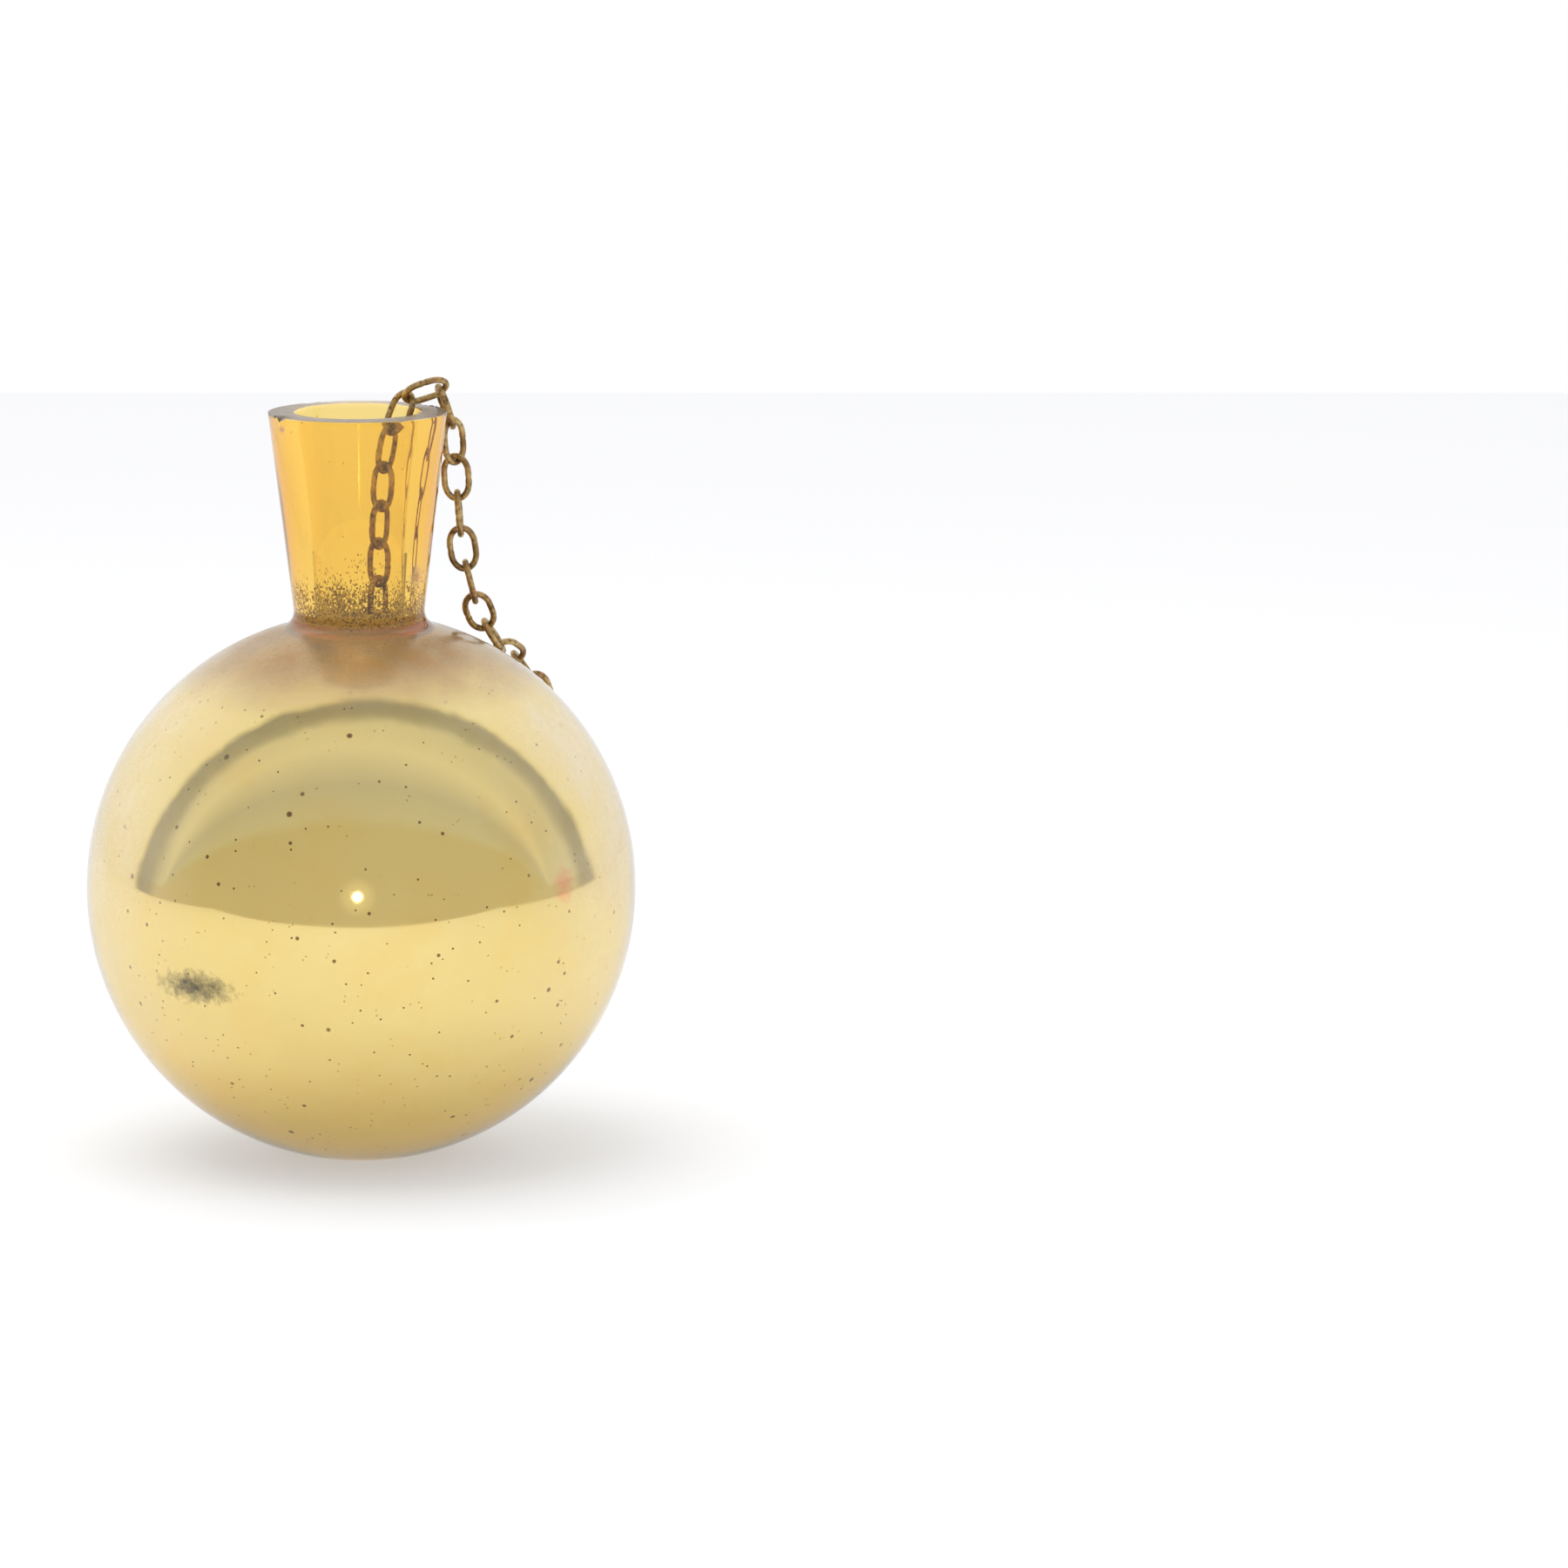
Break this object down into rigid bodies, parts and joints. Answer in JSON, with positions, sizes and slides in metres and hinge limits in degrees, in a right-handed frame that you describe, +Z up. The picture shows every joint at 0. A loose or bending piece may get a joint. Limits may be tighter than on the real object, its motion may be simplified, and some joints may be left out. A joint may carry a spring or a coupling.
{
  "type": "silvered glass hanging flask",
  "caption": "Round silvered-glass flask with an open flared neck, and an oval-link chain with an inner toggle that passes over the rim.",
  "frame": {"origin": "middle of the flat ground foot, on the flask axis", "axes": "+Z up along the flask axis; the chain crosses the rim on the +X side and drapes behind, towards +Y; the front faces -Y"},
  "size_m": [0.26, 0.2598, 0.3698],
  "materials": {
    "amber_glass": "clear blown yellow glass, ground rim",
    "silvering": "silver film behind yellow glass, worn at the neck",
    "aged_brass": "aged brown-gold brass"
  },
  "bodies": {
    "flask": {"glass_flask": "amber_glass", "silver_lining": "silvering"},
    "rim_link": {"rim_link": "aged_brass"},
    "neck_link_1": {"neck_link_1": "aged_brass"},
    "neck_link_2": {"neck_link_2": "aged_brass"},
    "neck_link_3": {"neck_link_3": "aged_brass"},
    "neck_link_4": {"neck_link_4": "aged_brass"},
    "neck_link_5": {"neck_link_5": "aged_brass"},
    "neck_link_6": {"neck_link_6": "aged_brass"},
    "neck_link_7": {"neck_link_7": "aged_brass"},
    "neck_link_8": {"neck_link_8": "aged_brass"},
    "drape_link_1": {"drape_link_1": "aged_brass"},
    "drape_link_2": {"drape_link_2": "aged_brass"},
    "drape_link_3": {"drape_link_3": "aged_brass"},
    "drape_link_4": {"drape_link_4": "aged_brass"},
    "drape_link_5": {"drape_link_5": "aged_brass"},
    "drape_link_6": {"drape_link_6": "aged_brass"},
    "drape_link_7": {"drape_link_7": "aged_brass"},
    "drape_link_8": {"drape_link_8": "aged_brass"},
    "drape_link_9": {"drape_link_9": "aged_brass"},
    "drape_link_10": {"drape_link_10": "aged_brass"},
    "drape_link_11": {"drape_link_11": "aged_brass"},
    "drape_link_12": {"drape_link_12": "aged_brass"},
    "drape_link_13": {"drape_link_13": "aged_brass"},
    "drape_link_14": {"drape_link_14": "aged_brass"},
    "drape_link_15": {"drape_link_15": "aged_brass"},
    "drape_link_16": {"drape_link_16": "aged_brass"},
    "toggle": {"toggle_eye": "aged_brass", "toggle_bar": "aged_brass"},
    "hanging_ring": {"hanging_ring": "aged_brass"}
  },
  "joints": [
    {"name": "rim_lift", "type": "slide", "parent": "flask", "child": "rim_link", "axis": [0, 0, 1], "range_m": [0, 0.008]},
    {"name": "neck_swing_1", "type": "hinge", "parent": "rim_link", "child": "neck_link_1", "pos_m": [0.02299, 0.01567, 0.35964], "axis": [-0.5, 0.866, 0], "range_deg": [0, 4]},
    {"name": "neck_swing_2", "type": "hinge", "parent": "neck_link_1", "child": "neck_link_2", "pos_m": [0.01605, 0.01326, 0.34404], "axis": [-0.454, 0.891, 0], "range_deg": [0, 3]},
    {"name": "neck_swing_3", "type": "hinge", "parent": "neck_link_2", "child": "neck_link_3", "pos_m": [0.01248, 0.01137, 0.32716], "axis": [-0.454, 0.891, 0], "range_deg": [0, 2]},
    {"name": "neck_swing_4", "type": "hinge", "parent": "neck_link_3", "child": "neck_link_4", "pos_m": [0.01085, 0.01064, 0.30987], "axis": [-0.454, 0.891, 0], "range_deg": [0, 2]},
    {"name": "neck_swing_5", "type": "hinge", "parent": "neck_link_4", "child": "neck_link_5", "pos_m": [0.00977, 0.01009, 0.29254], "axis": [-0.454, 0.891, 0], "range_deg": [0, 2]},
    {"name": "neck_swing_6", "type": "hinge", "parent": "neck_link_5", "child": "neck_link_6", "pos_m": [0.00923, 0.00983, 0.27517], "axis": [-0.454, 0.891, 0], "range_deg": [0, 2]},
    {"name": "neck_swing_7", "type": "hinge", "parent": "neck_link_6", "child": "neck_link_7", "pos_m": [0.00896, 0.00969, 0.25779], "axis": [-0.454, 0.891, 0], "range_deg": [0, 2]},
    {"name": "neck_swing_8", "type": "hinge", "parent": "neck_link_7", "child": "neck_link_8", "pos_m": [0.00895, 0.00971, 0.24041], "axis": [-0.454, 0.891, 0], "range_deg": [0, 2]},
    {"name": "toggle_swing", "type": "hinge", "parent": "neck_link_8", "child": "toggle", "pos_m": [0.00895, 0.00971, 0.22303], "axis": [-0.454, 0.891, 0], "range_deg": [0, 5]},
    {"name": "drape_swing_1", "type": "hinge", "parent": "rim_link", "child": "drape_link_1", "pos_m": [0.03748, 0.01883, 0.36407], "axis": [0.5, -0.866, 0], "range_deg": [0, 12]},
    {"name": "drape_swing_2", "type": "hinge", "parent": "drape_link_1", "child": "drape_link_2", "pos_m": [0.04387, 0.02212, 0.34331], "axis": [0.6691, -0.7431, 0], "range_deg": [0, 12]},
    {"name": "drape_swing_3", "type": "hinge", "parent": "drape_link_2", "child": "drape_link_3", "pos_m": [0.04454, 0.023, 0.33348], "axis": [0.7431, -0.6691, 0], "range_deg": [0, 12]},
    {"name": "drape_swing_4", "type": "hinge", "parent": "drape_link_3", "child": "drape_link_4", "pos_m": [0.04572, 0.02407, 0.31166], "axis": [0.788, -0.6157, 0], "range_deg": [0, 12]},
    {"name": "drape_swing_5", "type": "hinge", "parent": "drape_link_4", "child": "drape_link_5", "pos_m": [0.04686, 0.02561, 0.2959], "axis": [0.809, -0.5878, 0], "range_deg": [0, 12]},
    {"name": "drape_swing_6", "type": "hinge", "parent": "drape_link_5", "child": "drape_link_6", "pos_m": [0.04936, 0.02897, 0.27749], "axis": [0.829, -0.5592, 0], "range_deg": [0, 12]},
    {"name": "drape_swing_7", "type": "hinge", "parent": "drape_link_6", "child": "drape_link_7", "pos_m": [0.05297, 0.03443, 0.26141], "axis": [0.848, -0.5299, 0], "range_deg": [0, 12]},
    {"name": "drape_swing_8", "type": "hinge", "parent": "drape_link_7", "child": "drape_link_8", "pos_m": [0.05864, 0.0432, 0.2457], "axis": [0.866, -0.5, 0], "range_deg": [0, 12]},
    {"name": "drape_swing_9", "type": "hinge", "parent": "drape_link_8", "child": "drape_link_9", "pos_m": [0.06468, 0.05365, 0.23541], "axis": [0.866, -0.5, 0], "range_deg": [0, 12]},
    {"name": "drape_swing_10", "type": "hinge", "parent": "drape_link_9", "child": "drape_link_10", "pos_m": [0.07178, 0.06716, 0.22709], "axis": [0.866, -0.5, 0], "range_deg": [0, 12]},
    {"name": "drape_swing_11", "type": "hinge", "parent": "drape_link_10", "child": "drape_link_11", "pos_m": [0.07807, 0.07787, 0.2172], "axis": [0.866, -0.5, 0], "range_deg": [0, 12]},
    {"name": "drape_swing_12", "type": "hinge", "parent": "drape_link_11", "child": "drape_link_12", "pos_m": [0.08367, 0.08684, 0.2016], "axis": [0.866, -0.5, 0], "range_deg": [0, 12]},
    {"name": "drape_swing_13", "type": "hinge", "parent": "drape_link_12", "child": "drape_link_13", "pos_m": [0.08746, 0.09346, 0.18599], "axis": [0.866, -0.5, 0], "range_deg": [0, 12]},
    {"name": "drape_swing_14", "type": "hinge", "parent": "drape_link_13", "child": "drape_link_14", "pos_m": [0.09038, 0.09861, 0.16965], "axis": [0.866, -0.5, 0], "range_deg": [0, 12]},
    {"name": "drape_swing_15", "type": "hinge", "parent": "drape_link_14", "child": "drape_link_15", "pos_m": [0.09217, 0.10176, 0.15266], "axis": [0.866, -0.5, 0], "range_deg": [0, 12]},
    {"name": "drape_swing_16", "type": "hinge", "parent": "drape_link_15", "child": "drape_link_16", "pos_m": [0.09302, 0.1032, 0.13235], "axis": [0.866, -0.5, 0], "range_deg": [0, 12]},
    {"name": "ring_swing", "type": "hinge", "parent": "drape_link_16", "child": "hanging_ring", "pos_m": [0.09298, 0.10323, 0.1211], "axis": [0.866, -0.5, 0], "range_deg": [0, 30]}
  ]
}
